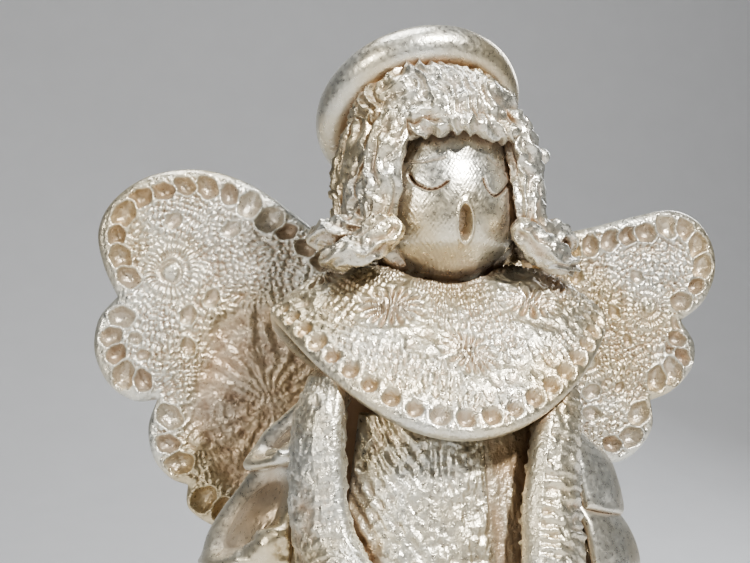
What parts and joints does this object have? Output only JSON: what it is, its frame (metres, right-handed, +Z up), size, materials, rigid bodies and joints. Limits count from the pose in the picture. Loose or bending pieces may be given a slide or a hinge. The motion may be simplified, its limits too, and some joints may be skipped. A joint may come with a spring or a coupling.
{
  "type": "angel figurine",
  "caption": "Standing angel figure with lobed lace-pressed wings, a dimpled shoulder collar, tiered side folds and a tilted ring halo, on a flat oval base.",
  "frame": {"origin": "on the floor, under the middle of the figure, on the underside of the base plate", "axes": "+Z up, the figure faces -Y, its own left hand is towards +X"},
  "size_m": [0.1843, 0.1138, 0.2339],
  "materials": {
    "pearl_lace": "pearlescent paint on lace-pressed resin, warm tan left in the hollows",
    "pearl_smooth": "pearlescent paint on smooth resin, satin",
    "pearl_hair": "pearlescent paint on crumpled resin, satin",
    "raw_resin": "unpainted resin, matt",
    "birch": "bare birch dowel",
    "steel_wire": "drawn wire"
  },
  "bodies": {
    "root": {"base_plate": "pearl_lace", "body_core": "raw_resin", "hem_ruffle": "pearl_lace", "front_panel": "pearl_lace", "back_panel": "pearl_lace", "swag_left_1": "pearl_smooth", "swag_left_2": "pearl_smooth", "swag_left_3": "pearl_smooth", "swag_left_4": "pearl_smooth", "swag_left_5": "pearl_smooth", "swag_right_1": "pearl_smooth", "swag_right_2": "pearl_smooth", "swag_right_3": "pearl_smooth", "swag_right_4": "pearl_smooth", "swag_right_5": "pearl_smooth", "sleeve_left": "pearl_lace", "sleeve_right": "pearl_lace", "hand_left": "pearl_smooth", "hand_right": "pearl_smooth", "neck": "pearl_smooth", "neck_dowel": "birch", "collar": "pearl_lace", "head": "pearl_smooth", "hair_cap": "pearl_hair", "hair_crown": "pearl_hair", "fringe": "pearl_hair", "locks_left": "pearl_hair", "locks_right": "pearl_hair", "locks_back": "pearl_hair", "temple_curl": "pearl_hair", "halo": "pearl_smooth", "halo_pins": "steel_wire", "wing_left": "pearl_lace", "wing_right": "pearl_lace", "wing_pad": "pearl_smooth", "wing_pins": "steel_wire"}
  },
  "joints": []
}
